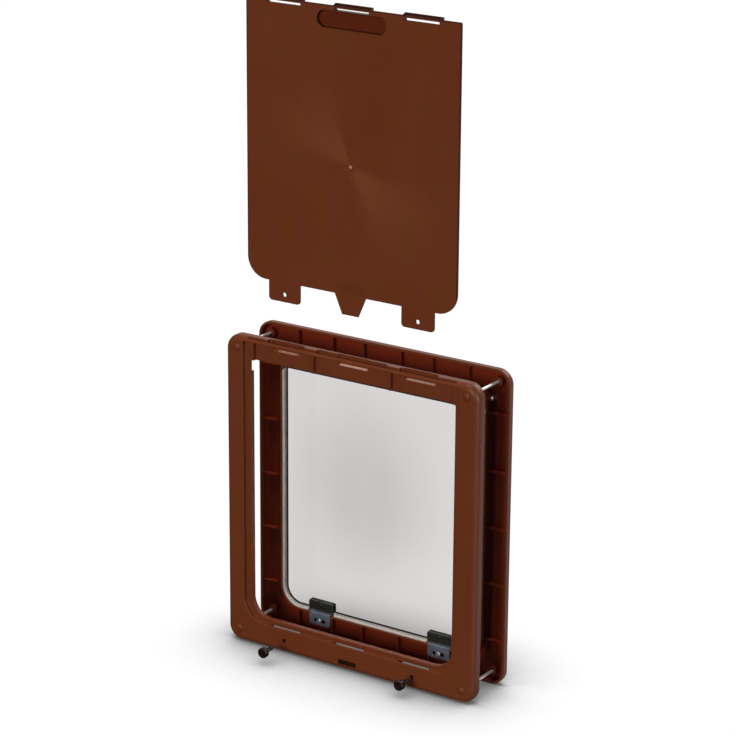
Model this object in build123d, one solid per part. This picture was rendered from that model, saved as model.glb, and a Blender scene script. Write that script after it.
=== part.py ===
from build123d import *
import os

# Dog door: two rectangular frames clamped on either side of a door leaf by four long screws, a clear flap
# that swings both ways in the rear frame, and a closing panel that drops into the front frame from above.
# Millimetres, +Z up. X runs across the door, Y from the front face towards the back.
# Inside this file Y = 0 is the front frame's face. The last step moves everything by Y_ORIGIN, so that the
# origin lies under the middle of the whole layout.

# ---- driving dimensions -------------------------------------------------------------------------------
W, H = 385.0, 425.5          # outline of both frames
R_OUT = 20.0                 # outline corner radius
D1 = 15.5                    # front frame depth
Y2, Y3 = 73.9, 85.4          # rear frame: front rim and back face
EDGE_R = 8.0                 # rounding of the front frame's visible edge
EDGE_R2 = 4.6                # rounding of the rear frame's back edge

# front frame opening, rebate and ledge
OPEN_HW = 155.8              # half width of the clear opening
OPEN_Z0, OPEN_Z1 = 39.2, 393.6
OPEN_RB, OPEN_RT = 27.0, 1.5
REB_HW = 164.8               # rebate in the face that holds the closing panel
REB_Z0, REB_Z1 = 32.6, 419.0
REB_RB, REB_RT = 33.0, 2.0
REB_Y = 5.6                  # depth of the rebate
LIP_Y = 2.6                  # thickness of the face in front of the panel's plane
LEDGE_T = 2.4
WALL_Y = 12.6                # the tunnel wall round the opening ends here
WALL_T = 2.4
RIM_T = 3.0
POCKET_Y = 11.0              # floor of the three loop pockets in the top bar
POCKET_T = 2.8
POCKETS = [(-151.6, -60.0), (-57.5, 57.5), (60.0, 151.6)]
ROOF_Z = 420.6               # over the pockets the bar is closed above this, apart from the loops' openings
STEP_Z, STEP_D, STEP_H = 411.2, 1.9, 1.4     # sloped step in the floor of each pocket
WIN_W, WIN_Z0, WIN_Z1 = 44.5, 24.5, 33.0     # windows behind the mouths for the tabs and the tongue
TRAY_W = 105.0

# clamp screws
CS_X, CS_Z0, CS_Z1 = 174.6, 17.8, 409.4
CS_R = 2.0

# closing panel (fitted position), then its lift to the rest position above the frames
P_HW = 157.4
P_H = 361.5
P_Z0 = 33.2
P_Y0, P_Y1 = 2.9, 5.3
P_RB = 28.0
TAB_X, TAB_W, TAB_L = 100.5, 48.2, 25.8
TAB_HOLE_DZ, TAB_HOLE_R = -16.0, 3.0
TRAP_W0, TRAP_W1 = 46.5, 24.0
LOOP_X, LOOP_W = 100.8, 52.0
LIFT = 474.2

# thumb screws
TS_X, TS_Z = 100.5, P_Z0 + TAB_HOLE_DZ
TS_SHANK_R = 2.5
TS_HEAD_R, TS_HEAD_T = 7.0, 7.4
TS_OUT_L, TS_OUT_R = 42.0, 25.0    # how far each one is drawn out at rest

# flap and hinge
HINGE_Y, HINGE_Z = 79.65, 384.4
FLAP_HW, FLAP_T, FLAP_Z0, FLAP_R = 152.2, 3.4, 35.9, 24.0
FLAP_Z1 = 377.5
RAIL_R, RAIL_Z0 = 5.4, 366.6
RIVET_Z = 371.4
PIN_R = 2.5
BUSH_R = 4.0
TUN_HW, TUN_Z0, TUN_Z1, TUN_R = 156.8, 31.5, 392.0, 28.6
PILE_T = 3.3
PILE_Y0, PILE_Y1 = 75.0, 84.3

# magnets and keepers
MAG_X, MAG_W, MAG_T, MAG_Z0, MAG_H = 94.0, 38.0, 10.6, 35.6, 12.8
KEEP_W = 33.0
KEEP_T = 1.5
KEEP_Z0 = 15.4
KEEP_SLOT_L, KEEP_SLOT_W = 18.6, 5.4

RIB_X = [28.5, 76.5, 130.6]
RIB_Z = [59.3, 136.2, 212.3, 288.8, 365.8]
RIB_T = 2.0

parts = {}


# ---- helpers ------------------------------------------------------------------------------------------
def slab(sk, y0, y1):
    """A sketch drawn in X and Z (as x, y), made solid from y0 to y1."""
    return Plane(origin=(0, y1, 0), x_dir=(1, 0, 0), z_dir=(0, -1, 0)) * extrude(sk, y1 - y0)


def window(hw, z0, z1, rb, rt):
    """A rectangle with its own radii at the bottom and the top corners."""
    r = Pos(0, (z0 + z1) / 2) * Rectangle(2 * hw, z1 - z0)
    low = r.vertices().sort_by(Axis.Y)[:2]
    r = fillet(low, rb)
    top = r.vertices().sort_by(Axis.Y)[-2:]
    return fillet(top, rt) if rt else r


def block(x0, x1, y0, y1, z0, z1):
    return Pos((x0 + x1) / 2, (y0 + y1) / 2, (z0 + z1) / 2) * Box(x1 - x0, y1 - y0, z1 - z0)


def poly(*pts):
    """A polygon in X and Z, its points put in counter-clockwise order."""
    area = sum(a[0] * b[1] - b[0] * a[1] for a, b in zip(pts, pts[1:] + pts[:1]))
    return Polygon(*(pts if area > 0 else pts[::-1]), align=None)


def rod_y(x, z, r, y0, y1):
    return Pos(x, (y0 + y1) / 2, z) * Rot(90, 0, 0) * Cylinder(r, y1 - y0)


def rod_x(y, z, r, x0, x1):
    return Pos((x0 + x1) / 2, y, z) * Rot(0, 90, 0) * Cylinder(r, x1 - x0)


def outline(w, h, r):
    return Pos(0, H / 2) * RectangleRounded(w, h, r)


def edges_at(shape, y, tol=0.02):
    return shape.edges().filter_by(lambda e: abs(e.bounding_box().min.Y - y) < tol and abs(e.bounding_box().max.Y - y) < tol)


CORNERS = {
    "top_left": (-CS_X, CS_Z1), "top_right": (CS_X, CS_Z1),
    "bottom_left": (-CS_X, CS_Z0), "bottom_right": (CS_X, CS_Z0),
}

# ---- front frame --------------------------------------------------------------------------------------
body = slab(outline(W, H, R_OUT), 0, D1)
body = fillet(edges_at(body, 0), EDGE_R)
rebate = slab(window(REB_HW, REB_Z0, REB_Z1, REB_RB, REB_RT), -1, REB_Y)
body -= rebate
body = fillet(edges_at(body, 0).filter_by(lambda e: abs(e.center().X) < REB_HW + 0.5 and REB_Z0 - 0.5 < e.center().Z < REB_Z1 + 0.5), 0.9)
opening = slab(window(OPEN_HW, OPEN_Z0, OPEN_Z1, OPEN_RB, OPEN_RT), -1, D1 + 1)
body -= opening
body = fillet(edges_at(body, REB_Y).filter_by(lambda e: abs(e.center().X) < OPEN_HW + 0.5 and OPEN_Z0 - 0.5 < e.center().Z < OPEN_Z1 + 0.5), 0.7)

# hollow behind the face, behind the ledge, and above the tunnel wall's end
inner_rim = slab(outline(W - 2 * RIM_T, H - 2 * RIM_T, R_OUT - RIM_T), 2.6, D1 + 1)
inner_rim = fillet(edges_at(inner_rim, 2.6), EDGE_R - 2.8)
around_rebate = slab(window(REB_HW + 2.4, 1.0, REB_Z1 + 2.0, 12.0, 0), 0, D1 + 1)
around_open = slab(window(OPEN_HW + WALL_T, OPEN_Z0 - WALL_T, OPEN_Z1 + WALL_T, OPEN_RB + WALL_T, OPEN_RT + WALL_T), 0, D1 + 1)
hollow_face = inner_rim - around_rebate
hollow_ledge = slab(outline(W - 2 * RIM_T, H - 2 * RIM_T, R_OUT - RIM_T), REB_Y + LEDGE_T, D1 + 1) - around_open
hollow_top = block(-153.8, 153.8, 0, POCKET_Y + POCKET_T, OPEN_Z1 - 1, H + 1)      # kept solid round the pockets
hollow_ledge -= hollow_top
body -= hollow_face - hollow_top
body -= hollow_ledge
# the tunnel wall stops short of the rim that meets the door leaf
body -= slab(window(OPEN_HW + WALL_T + 0.01, OPEN_Z0 - WALL_T - 0.01, OPEN_Z1 + WALL_T + 0.01, OPEN_RB + WALL_T, OPEN_RT + WALL_T), WALL_Y, D1 + 1)
# the space behind the pockets' floor
body -= block(-153.8, 153.8, POCKET_Y + POCKET_T, D1 + 1, OPEN_Z1 - 1, H - RIM_T)

# cross ribs in the channel
ribs = []
for x in RIB_X:
    for s in (-1, 1):
        ribs.append(block(s * x - RIB_T / 2, s * x + RIB_T / 2, 6.0, 13.6, RIM_T - 0.5, OPEN_Z0 - 1))
for z in RIB_Z:
    for s in (-1, 1):
        a, b = sorted((s * (OPEN_HW + 1), s * (W / 2 - RIM_T + 0.5)))
        ribs.append(block(a, b, 6.5, 13.6, z - RIB_T / 2, z + RIB_T / 2))
for r in ribs:
    body += r

# corner posts for the clamp screws
for x, z in CORNERS.values():
    body += rod_y(x, z, 6.6, 1.5, D1)
    body -= rod_y(x, z, 2.3, -1, D1 + 1)
    body -= rod_y(x, z, 5.6, -1, 1.8)
    body -= rod_y(x, z, 4.2, -1, 5.4)

# slit for the closing panel through the top, and the pockets for its three loops
body -= block(-P_HW - 0.6, P_HW + 0.6, LIP_Y, REB_Y, REB_Z1 - 0.5, H + 1)
for a, b in POCKETS:
    body -= block(a, b, REB_Y - 0.5, POCKET_Y, OPEN_Z1 - 2, ROOF_Z)
for x in (-LOOP_X, 0.0, LOOP_X):
    hw = LOOP_W / 2 + 2.2 if x else TRAY_W / 2 + 0.8
    body -= block(x - hw, x + hw, REB_Y - 0.5, POCKET_Y, ROOF_Z - 1, H + 1)
    # each pocket deepens behind the lip, with a sloped step
    step = Plane(origin=(x - 23, 0, 0), x_dir=(0, 1, 0), z_dir=(1, 0, 0)) * extrude(
        poly((POCKET_Y - 0.1, STEP_Z), (POCKET_Y + STEP_D, STEP_Z + STEP_H), (POCKET_Y + STEP_D, H + 1), (POCKET_Y - 0.1, H + 1)), 46)
    body -= step
# the tunnel wall is notched at both top corners
for s in (-1, 1):
    a, b = sorted((s * (OPEN_HW - 1), s * (OPEN_HW + WALL_T + 0.5)))
    body -= block(a, b, REB_Y + LEDGE_T, D1 + 1, 378.0, OPEN_Z1)

# pockets for the two tabs and the centre tongue, with their mouths at the foot of the rebate
for s in (-1, 1):
    body -= block(s * TAB_X - TAB_W / 2 - 0.6, s * TAB_X + TAB_W / 2 + 0.6, LIP_Y, REB_Y, P_Z0 - TAB_L - 0.8, REB_Z0 + 1)
tongue_room = slab(poly((-TRAP_W0 / 2 - 2.6, REB_Z0 + 1), (TRAP_W0 / 2 + 2.6, REB_Z0 + 1),
                        (TRAP_W1 / 2 + 1.2, P_Z0 - TAB_L - 0.8), (-TRAP_W1 / 2 - 1.2, P_Z0 - TAB_L - 0.8)), LIP_Y, REB_Y)
body -= tongue_room
body -= block(-13.8, 13.8, -1, LIP_Y + 0.1, 6.6, 14.0)                              # window in front of the tongue's tip
# behind the three mouths the wall is open towards the door leaf
for x in (-TAB_X, 0.0, TAB_X):
    body -= block(x - WIN_W / 2, x + WIN_W / 2, LIP_Y + 0.1, REB_Y + LEDGE_T + 1, WIN_Z0, WIN_Z1)
for s in (-1, 1):
    body += rod_y(s * TS_X, TS_Z, 5.2, REB_Y, 14.4)
    body -= rod_y(s * TS_X, TS_Z, 2.9, -1, REB_Y + 0.1)
    body -= rod_y(s * TS_X, TS_Z, 3.6, REB_Y - 0.1, 15.0)
parts["front_frame"] = body

# ---- rear frame ---------------------------------------------------------------------------------------
rear = slab(outline(W, H, R_OUT), Y2, Y3)
rear = fillet(edges_at(rear, Y3), EDGE_R2)
rear -= slab(window(TUN_HW, TUN_Z0, TUN_Z1, TUN_R, 3.0), Y2 - 1, Y3 + 1)
rear = fillet(edges_at(rear, Y3).filter_by(lambda e: abs(e.center().X) < TUN_HW + 0.5 and TUN_Z0 - 0.5 < e.center().Z < TUN_Z1 + 0.5), 1.6)
channel = slab(outline(W - 6.8, H - 6.8, R_OUT - 3.4), Y2 - 1, Y3 - 2.6) - slab(
    window(TUN_HW + 2.4, TUN_Z0 - 2.4, TUN_Z1 + 2.4, TUN_R + 2.4, 5.4), Y2 - 2, Y3)
rear -= channel
for x in RIB_X:
    for s in (-1, 1):
        rear += block(s * x - RIB_T / 2, s * x + RIB_T / 2, Y2 + 1.0, Y3 - 2.0, 3.0, TUN_Z0 - 2)
        rear += block(s * x - RIB_T / 2, s * x + RIB_T / 2, Y2 + 1.0, Y3 - 2.0, TUN_Z1 + 2, H - 3.0)
for z in RIB_Z:
    for s in (-1, 1):
        a, b = sorted((s * (TUN_HW + 2), s * (W / 2 - 3.0)))
        rear += block(a, b, Y2 + 1.0, Y3 - 2.0, z - RIB_T / 2, z + RIB_T / 2)
for x, z in CORNERS.values():
    rear += rod_y(x, z, 6.0, Y2 + 0.4, Y3 - 2.0)
    rear -= rod_y(x, z, 3.3, Y2 - 1, Y3 - 2.6)
# hinge bosses on the side walls, bored for the pins
for s in (-1, 1):
    a, b = sorted((s * (TUN_HW + 2), s * 163.0))
    rear += rod_x(HINGE_Y, HINGE_Z, 5.5, a, b) & block(a, b, Y2, Y3 - 1, HINGE_Z - 10, HINGE_Z + 10)
    a, b = sorted((s * (TUN_HW - 2), s * 164.0))
    rear -= rod_x(HINGE_Y, HINGE_Z, PIN_R, a, b)
# pads behind the keeper plates, drilled for their screws
for s in (-1, 1):
    rear += block(s * MAG_X - 12, s * MAG_X + 12, Y2 + 0.2, Y3 - 2.0, 13.0, TUN_Z0 - 1)
    rear -= slab(Pos(s * MAG_X, 21.6) * SlotOverall(KEEP_SLOT_L + 1.0, KEEP_SLOT_W + 1.0), Y2 - 1, Y2 + 5.0)
    rear -= rod_y(s * MAG_X, 21.6, 1.6, Y2 - 1, Y3 - 3.0)
parts["rear_frame"] = rear

# ---- closing panel ------------------------------------------------------------------------------------
z0, z1 = P_Z0, P_Z0 + P_H
panel = slab(window(P_HW, z0, z1, P_RB, 1.6), P_Y0, P_Y1)
for s in (-1, 1):
    tab = Pos(s * TAB_X, z0 - TAB_L / 2 + 3) * Rectangle(TAB_W, TAB_L + 6)
    tab = fillet(tab.vertices().sort_by(Axis.Y)[:2], 5.0)
    panel += slab(tab, P_Y0, P_Y1)
trap = poly((-TRAP_W0 / 2 - 1.2, z0 + 2), (TRAP_W0 / 2 + 1.2, z0 + 2), (TRAP_W0 / 2, z0),
            (TRAP_W1 / 2, z0 - TAB_L), (-TRAP_W1 / 2, z0 - TAB_L), (-TRAP_W0 / 2, z0))
panel += slab(trap, P_Y0, P_Y1)
# screw holes in the tabs
for s in (-1, 1):
    panel -= rod_y(s * TAB_X, z0 + TAB_HOLE_DZ, TAB_HOLE_R, P_Y0 - 1, P_Y1 + 1)
# finger recess: a shallow tray that bulges out behind
tray_c = z1 - 6.8 - 10.6
tray_out = slab(Pos(0, tray_c) * RectangleRounded(TRAY_W, 21.2 + 3.6, 12.39), P_Y1 - 0.4, 10.2)
tray_in = slab(Pos(0, tray_c) * RectangleRounded(101.2, 21.2, 10.59), P_Y0 - 1, 8.4)
panel += tray_out
panel -= tray_in
# three loops: a slot through the skin and a bar behind it, above the top edge
for x in (-LOOP_X, 0.0, LOOP_X):
    panel += block(x - LOOP_W / 2 - 1.6, x - LOOP_W / 2 + 0.6, P_Y1 - 0.4, 10.4, z1 - 7.0, z1 + 1.2)
    panel += block(x + LOOP_W / 2 - 0.6, x + LOOP_W / 2 + 1.6, P_Y1 - 0.4, 10.4, z1 - 7.0, z1 + 1.2)
    panel += block(x - LOOP_W / 2 - 1.6, x + LOOP_W / 2 + 1.6, 8.2, 10.4, z1 - 1.4, z1 + 2.3)
    panel -= block(x - LOOP_W / 2 + 0.6, x + LOOP_W / 2 - 0.6, P_Y0 - 1, 12.0, z1 - 5.8, z1 - 3.0)
panel = fillet(edges_at(panel, P_Y0).filter_by(lambda e: e.length > 20 and abs(e.center().Z - tray_c) > 12.5), 0.5)
parts["closing_panel"] = Pos(0, 0, LIFT) * panel

# ---- thumb screws -------------------------------------------------------------------------------------
for name, s, out in (("thumb_screw_left", -1, TS_OUT_L), ("thumb_screw_right", 1, TS_OUT_R)):
    x = s * TS_X
    head = rod_y(x, TS_Z, TS_HEAD_R, -TS_HEAD_T, -0.2)
    head = chamfer(head.edges().filter_by(GeomType.CIRCLE), 0.8)
    for k in range(16):                                                             # grip flutes round the rim
        head -= Pos(x, 0, TS_Z) * Rot(0, k * 22.5, 0) * Pos(TS_HEAD_R + 0.55, -TS_HEAD_T / 2, 0) * Rot(90, 0, 0) * Cylinder(1.05, 12)
    head -= rod_y(x, TS_Z, 3.6, -TS_HEAD_T - 1, -TS_HEAD_T + 0.9)                   # dished end
    shank = rod_y(x, TS_Z, TS_SHANK_R, -0.3, 15.6)
    shank = chamfer(shank.faces().sort_by(Axis.Y)[-1].edges(), 0.8)
    parts[name] = Pos(0, -out, 0) * (head + shank)

# ---- clamp screws, caps and threaded sleeves ----------------------------------------------------------
for key, (x, z) in CORNERS.items():
    screw = rod_y(x, z, CS_R, 3.0, 81.8)
    screw = chamfer(screw.faces().sort_by(Axis.Y)[-1].edges(), 0.6)
    head = rod_y(x, z, 3.8, 2.7, 5.35)
    head = fillet(head.faces().sort_by(Axis.Y)[0].edges(), 0.7)
    head -= block(x - 2.6, x + 2.6, 2, 4.0, z - 0.5, z + 0.5)
    head -= block(x - 0.5, x + 0.5, 2, 4.0, z - 2.6, z + 2.6)
    parts["clamp_screw_" + key] = screw + head
    sleeve = rod_y(x, z, 3.25, Y2 + 0.5, Y3 - 2.9) - rod_y(x, z, CS_R + 0.05, Y2, Y3)
    parts["boss_insert_" + key] = sleeve
    # domed cap: a segment of a sphere on a short disc
    rs, rise = 10.6, 1.5
    dome = (Pos(x, rs - rise, z) * Sphere(rs)) & rod_y(x, z, 5.4, -3, 0.35)
    cap = dome + rod_y(x, z, 5.4, 0.3, 1.7) + (rod_y(x, z, 4.05, 1.6, 2.6) - rod_y(x, z, 3.0, 1.7, 3.0))
    parts["screw_cap_" + key] = cap

for name, s in (("thumb_insert_left", -1), ("thumb_insert_right", 1)):
    parts[name] = rod_y(s * TS_X, TS_Z, 3.55, REB_Y + 0.2, 14.2) - rod_y(s * TS_X, TS_Z, TS_SHANK_R + 0.06, 0, 20)

# ---- flap ---------------------------------------------------------------------------------------------
flap = slab(window(FLAP_HW, FLAP_Z0, FLAP_Z1, FLAP_R, 0), HINGE_Y - FLAP_T / 2, HINGE_Y + FLAP_T / 2)
flap = fillet(edges_at(flap, HINGE_Y - FLAP_T / 2).filter_by(lambda e: e.center().Z < FLAP_Z1 - 1), 0.5)
RIVETS = [-120.0, -40.0, 40.0, 120.0]
for x in RIVETS:
    flap -= rod_y(x, RIVET_Z, 1.6, HINGE_Y - 4, HINGE_Y + 4)

rail_side = Pos(HINGE_Y, HINGE_Z) * Circle(RAIL_R) + Pos(HINGE_Y, (HINGE_Z + RAIL_Z0) / 2) * Rectangle(2 * RAIL_R, HINGE_Z - RAIL_Z0)
rail = Plane(origin=(-FLAP_HW, 0, 0), x_dir=(0, 1, 0), z_dir=(1, 0, 0)) * extrude(rail_side, 2 * FLAP_HW)
rail -= block(-FLAP_HW - 1, FLAP_HW + 1, HINGE_Y - FLAP_T / 2, HINGE_Y + FLAP_T / 2, RAIL_Z0 - 1, FLAP_Z1)
for s in (-1, 1):
    a, b = sorted((s * (FLAP_HW - 16), s * (FLAP_HW + 1)))
    rail -= rod_x(HINGE_Y, HINGE_Z, BUSH_R, a, b)
    a, b = sorted((s * (FLAP_HW - 15.8), s * (FLAP_HW + 1.2)))
    bush = rod_x(HINGE_Y, HINGE_Z, BUSH_R, *sorted((s * (FLAP_HW - 15.8), s * FLAP_HW)))
    bush += rod_x(HINGE_Y, HINGE_Z, 5.2, *sorted((s * FLAP_HW, s * (FLAP_HW + 1.4))))
    bush -= rod_x(HINGE_Y, HINGE_Z, PIN_R + 0.05, a - 5, b + 5)
    parts["hinge_bush_" + ("left" if s < 0 else "right")] = bush
rivets = []
for x in RIVETS:
    rail -= rod_y(x, RIVET_Z, 1.6, HINGE_Y - 8, HINGE_Y + 8)
    rv = rod_y(x, RIVET_Z, 1.6, HINGE_Y - RAIL_R, HINGE_Y + RAIL_R)
    for s in (-1, 1):
        cap = (Pos(x, HINGE_Y + s * (RAIL_R - 4.89), RIVET_Z) * Sphere(5.79)) & rod_y(x, RIVET_Z, 3.1, *sorted((HINGE_Y + s * RAIL_R, HINGE_Y + s * (RAIL_R + 3))))
        rv += cap
    rivets.append(rv)
parts["flap_panel"] = flap
parts["hinge_rail"] = rail
parts["rail_rivets"] = Compound(children=rivets)

for s in (-1, 1):
    side = "left" if s < 0 else "right"
    pin = rod_x(HINGE_Y, HINGE_Z, PIN_R, *sorted((s * 138.5, s * 163.2)))
    head = rod_x(HINGE_Y, HINGE_Z, 3.0, *sorted((s * 163.1, s * 165.0)))
    face = head.faces().sort_by(Axis.X)[-1 if s > 0 else 0]
    head = fillet(face.edges(), 0.9)
    parts["hinge_pin_" + side] = pin + head

# ---- pile seal on the rear frame's tunnel wall, cut where the keepers sit -----------------------------
u_out = slab(window(TUN_HW, TUN_Z0, 362.0, TUN_R, 0), PILE_Y0, PILE_Y1)
u_in = slab(window(TUN_HW - PILE_T, TUN_Z0 + PILE_T, 380.0, TUN_R - PILE_T, 0), PILE_Y0 - 1, PILE_Y1 + 1)
u = u_out - u_in
cut = MAG_X + KEEP_W / 2 + 4.2
cut_in = MAG_X - KEEP_W / 2 - 4.2
parts["seal_left"] = u & block(-200, -cut, 0, 100, 0, 400)
parts["seal_right"] = u & block(cut, 200, 0, 100, 0, 400)
parts["seal_bottom"] = u & block(-cut_in, cut_in, 0, 100, 0, 60)

# ---- magnets, holders, keepers ------------------------------------------------------------------------
for s in (-1, 1):
    side = "left" if s < 0 else "right"
    x = s * MAG_X
    mh = block(x - MAG_W / 2, x + MAG_W / 2, HINGE_Y - MAG_T / 2, HINGE_Y + MAG_T / 2, MAG_Z0, MAG_Z0 + MAG_H)
    mh = fillet(mh.edges().filter_by(Axis.X).sort_by(Axis.Z)[-2:], 1.6)
    mh = fillet(mh.edges().filter_by(Axis.Z), 1.2)
    mh -= block(x - MAG_W / 2 - 1, x + MAG_W / 2 + 1, HINGE_Y - FLAP_T / 2, HINGE_Y + FLAP_T / 2, FLAP_Z0 + 7.0, MAG_Z0 + MAG_H + 1)
    mag = block(x - 14, x + 14, HINGE_Y - 3.6, HINGE_Y + 3.6, MAG_Z0 + 0.5, MAG_Z0 + 5.5)
    mh -= block(x - 14, x + 14, HINGE_Y - 3.6, HINGE_Y + 3.6, MAG_Z0 - 1, MAG_Z0 + 5.5)
    for t in (-1, 1):                                                                # domed ends of the clamp stud
        end = HINGE_Y + t * MAG_T / 2
        mh += (Pos(x, end - t * 2.6, MAG_Z0 + 9.3) * Sphere(3.3)) & rod_y(x, MAG_Z0 + 9.3, 2.0, *sorted((end - t * 0.3, end + t * 2)))
    parts["magnet_holder_" + side] = mh
    parts["magnet_" + side] = mag
    # keeper: a folded plate, upright leg in front of the pad, flat leg on the sill below the magnet
    ky0 = Y2 - 0.1 - KEEP_T
    leg = block(x - KEEP_W / 2, x + KEEP_W / 2, ky0, ky0 + KEEP_T, KEEP_Z0, TUN_Z0 + 0.3 + KEEP_T)
    leg = fillet(leg.edges().filter_by(Axis.Y).sort_by(Axis.Z)[:2], 3.0)
    flat = block(x - KEEP_W / 2, x + KEEP_W / 2, ky0, 83.6, TUN_Z0 + 0.3, TUN_Z0 + 0.3 + KEEP_T)
    keep = leg + flat
    keep = fillet(keep.edges().filter_by(Axis.X).filter_by(lambda e: abs(e.center().Y - ky0) < 0.01 and e.center().Z > TUN_Z0), 1.2)
    slot = slab(Pos(x, 21.6) * SlotOverall(KEEP_SLOT_L, KEEP_SLOT_W), ky0 - 1, ky0 + KEEP_T + 1)
    keep -= slot
    parts["keeper_plate_" + side] = keep
    ks = rod_y(x, 21.6, 1.55, ky0 - 0.2, Y3 - 3.4)
    kh = rod_y(x, 21.6, 3.4, ky0 - 2.3, ky0 - 0.1)
    kh = fillet(kh.faces().sort_by(Axis.Y)[0].edges(), 1.1)
    kh -= block(x - 2.3, x + 2.3, ky0 - 3, ky0 - 1.3, 21.6 - 0.4, 21.6 + 0.4)
    kh -= block(x - 0.4, x + 0.4, ky0 - 3, ky0 - 1.3, 21.6 - 2.3, 21.6 + 2.3)
    parts["keeper_screw_" + side] = ks + kh
    # the flap's bottom edge is notched round the holder's foot
    parts["flap_panel"] = parts["flap_panel"] - block(x - MAG_W / 2 - 0.4, x + MAG_W / 2 + 0.4, HINGE_Y - 4, HINGE_Y + 4, FLAP_Z0 - 2, FLAP_Z0 + 7.0)

# ---- move to the row's origin and write ---------------------------------------------------------------
low = min(p.bounding_box().min.Y for p in parts.values())
high = max(p.bounding_box().max.Y for p in parts.values())
Y_ORIGIN = -(low + high) / 2
print("Y_ORIGIN %.3f  low %.3f high %.3f" % (Y_ORIGIN, low, high))
os.makedirs("parts", exist_ok=True)
for name, shape in parts.items():
    shape = Pos(0, Y_ORIGIN, 0) * shape
    export_step(shape, f"parts/{name}.step")
    print(name, len(shape.solids()), round(shape.volume, 1))
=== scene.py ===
import math
import random

import bpy
import bmesh
from mathutils import Matrix, Vector, noise


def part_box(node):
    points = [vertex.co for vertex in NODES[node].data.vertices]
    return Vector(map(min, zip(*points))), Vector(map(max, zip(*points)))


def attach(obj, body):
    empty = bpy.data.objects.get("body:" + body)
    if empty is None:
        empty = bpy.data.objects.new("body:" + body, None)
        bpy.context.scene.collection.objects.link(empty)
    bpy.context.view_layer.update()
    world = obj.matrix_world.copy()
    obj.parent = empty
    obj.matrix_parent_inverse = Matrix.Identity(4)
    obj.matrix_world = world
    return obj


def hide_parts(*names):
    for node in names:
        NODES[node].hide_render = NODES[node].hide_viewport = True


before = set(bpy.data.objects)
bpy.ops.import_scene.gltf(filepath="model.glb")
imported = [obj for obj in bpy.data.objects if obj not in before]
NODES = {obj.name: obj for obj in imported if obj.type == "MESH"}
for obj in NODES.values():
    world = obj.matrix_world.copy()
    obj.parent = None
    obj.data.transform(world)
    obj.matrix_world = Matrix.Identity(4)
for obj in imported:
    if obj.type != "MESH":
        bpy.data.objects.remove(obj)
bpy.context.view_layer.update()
MM = 0.001
Y0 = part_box("front_frame")[0].y            # the front frame's face


# ---- places ------------------------------------------------------------------------------------------
def P(x, y, z):
    """Millimetres counted from the front frame's face, to metres in the row frame."""
    return Vector((x * MM, y * MM + Y0, z * MM))


# ---- camera ------------------------------------------------------------------------------------------
F_PX = 2810.1
AZ, EL, ROLL = math.radians(34.019), math.radians(18.136), math.radians(0.393)
CAM_AT = P(1891.5, -2758.1, 1509.6)


def add_camera():
    back = Vector((math.sin(AZ) * math.cos(EL), -math.cos(AZ) * math.cos(EL), math.sin(EL)))
    right = (-back).cross(Vector((0, 0, 1))).normalized()
    up = right.cross(-back)
    r2 = math.cos(ROLL) * right + math.sin(ROLL) * up
    u2 = -math.sin(ROLL) * right + math.cos(ROLL) * up
    data = bpy.data.cameras.new("camera")
    data.sensor_width = 36.0
    data.lens = F_PX * 36.0 / 736.0
    data.clip_start, data.clip_end = 0.05, 100.0
    cam = bpy.data.objects.new("camera", data)
    cam.matrix_world = Matrix((
        (r2.x, u2.x, back.x, CAM_AT.x), (r2.y, u2.y, back.y, CAM_AT.y), (r2.z, u2.z, back.z, CAM_AT.z), (0, 0, 0, 1)))
    bpy.context.scene.collection.objects.link(cam)
    bpy.context.scene.camera = cam


add_camera()


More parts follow.
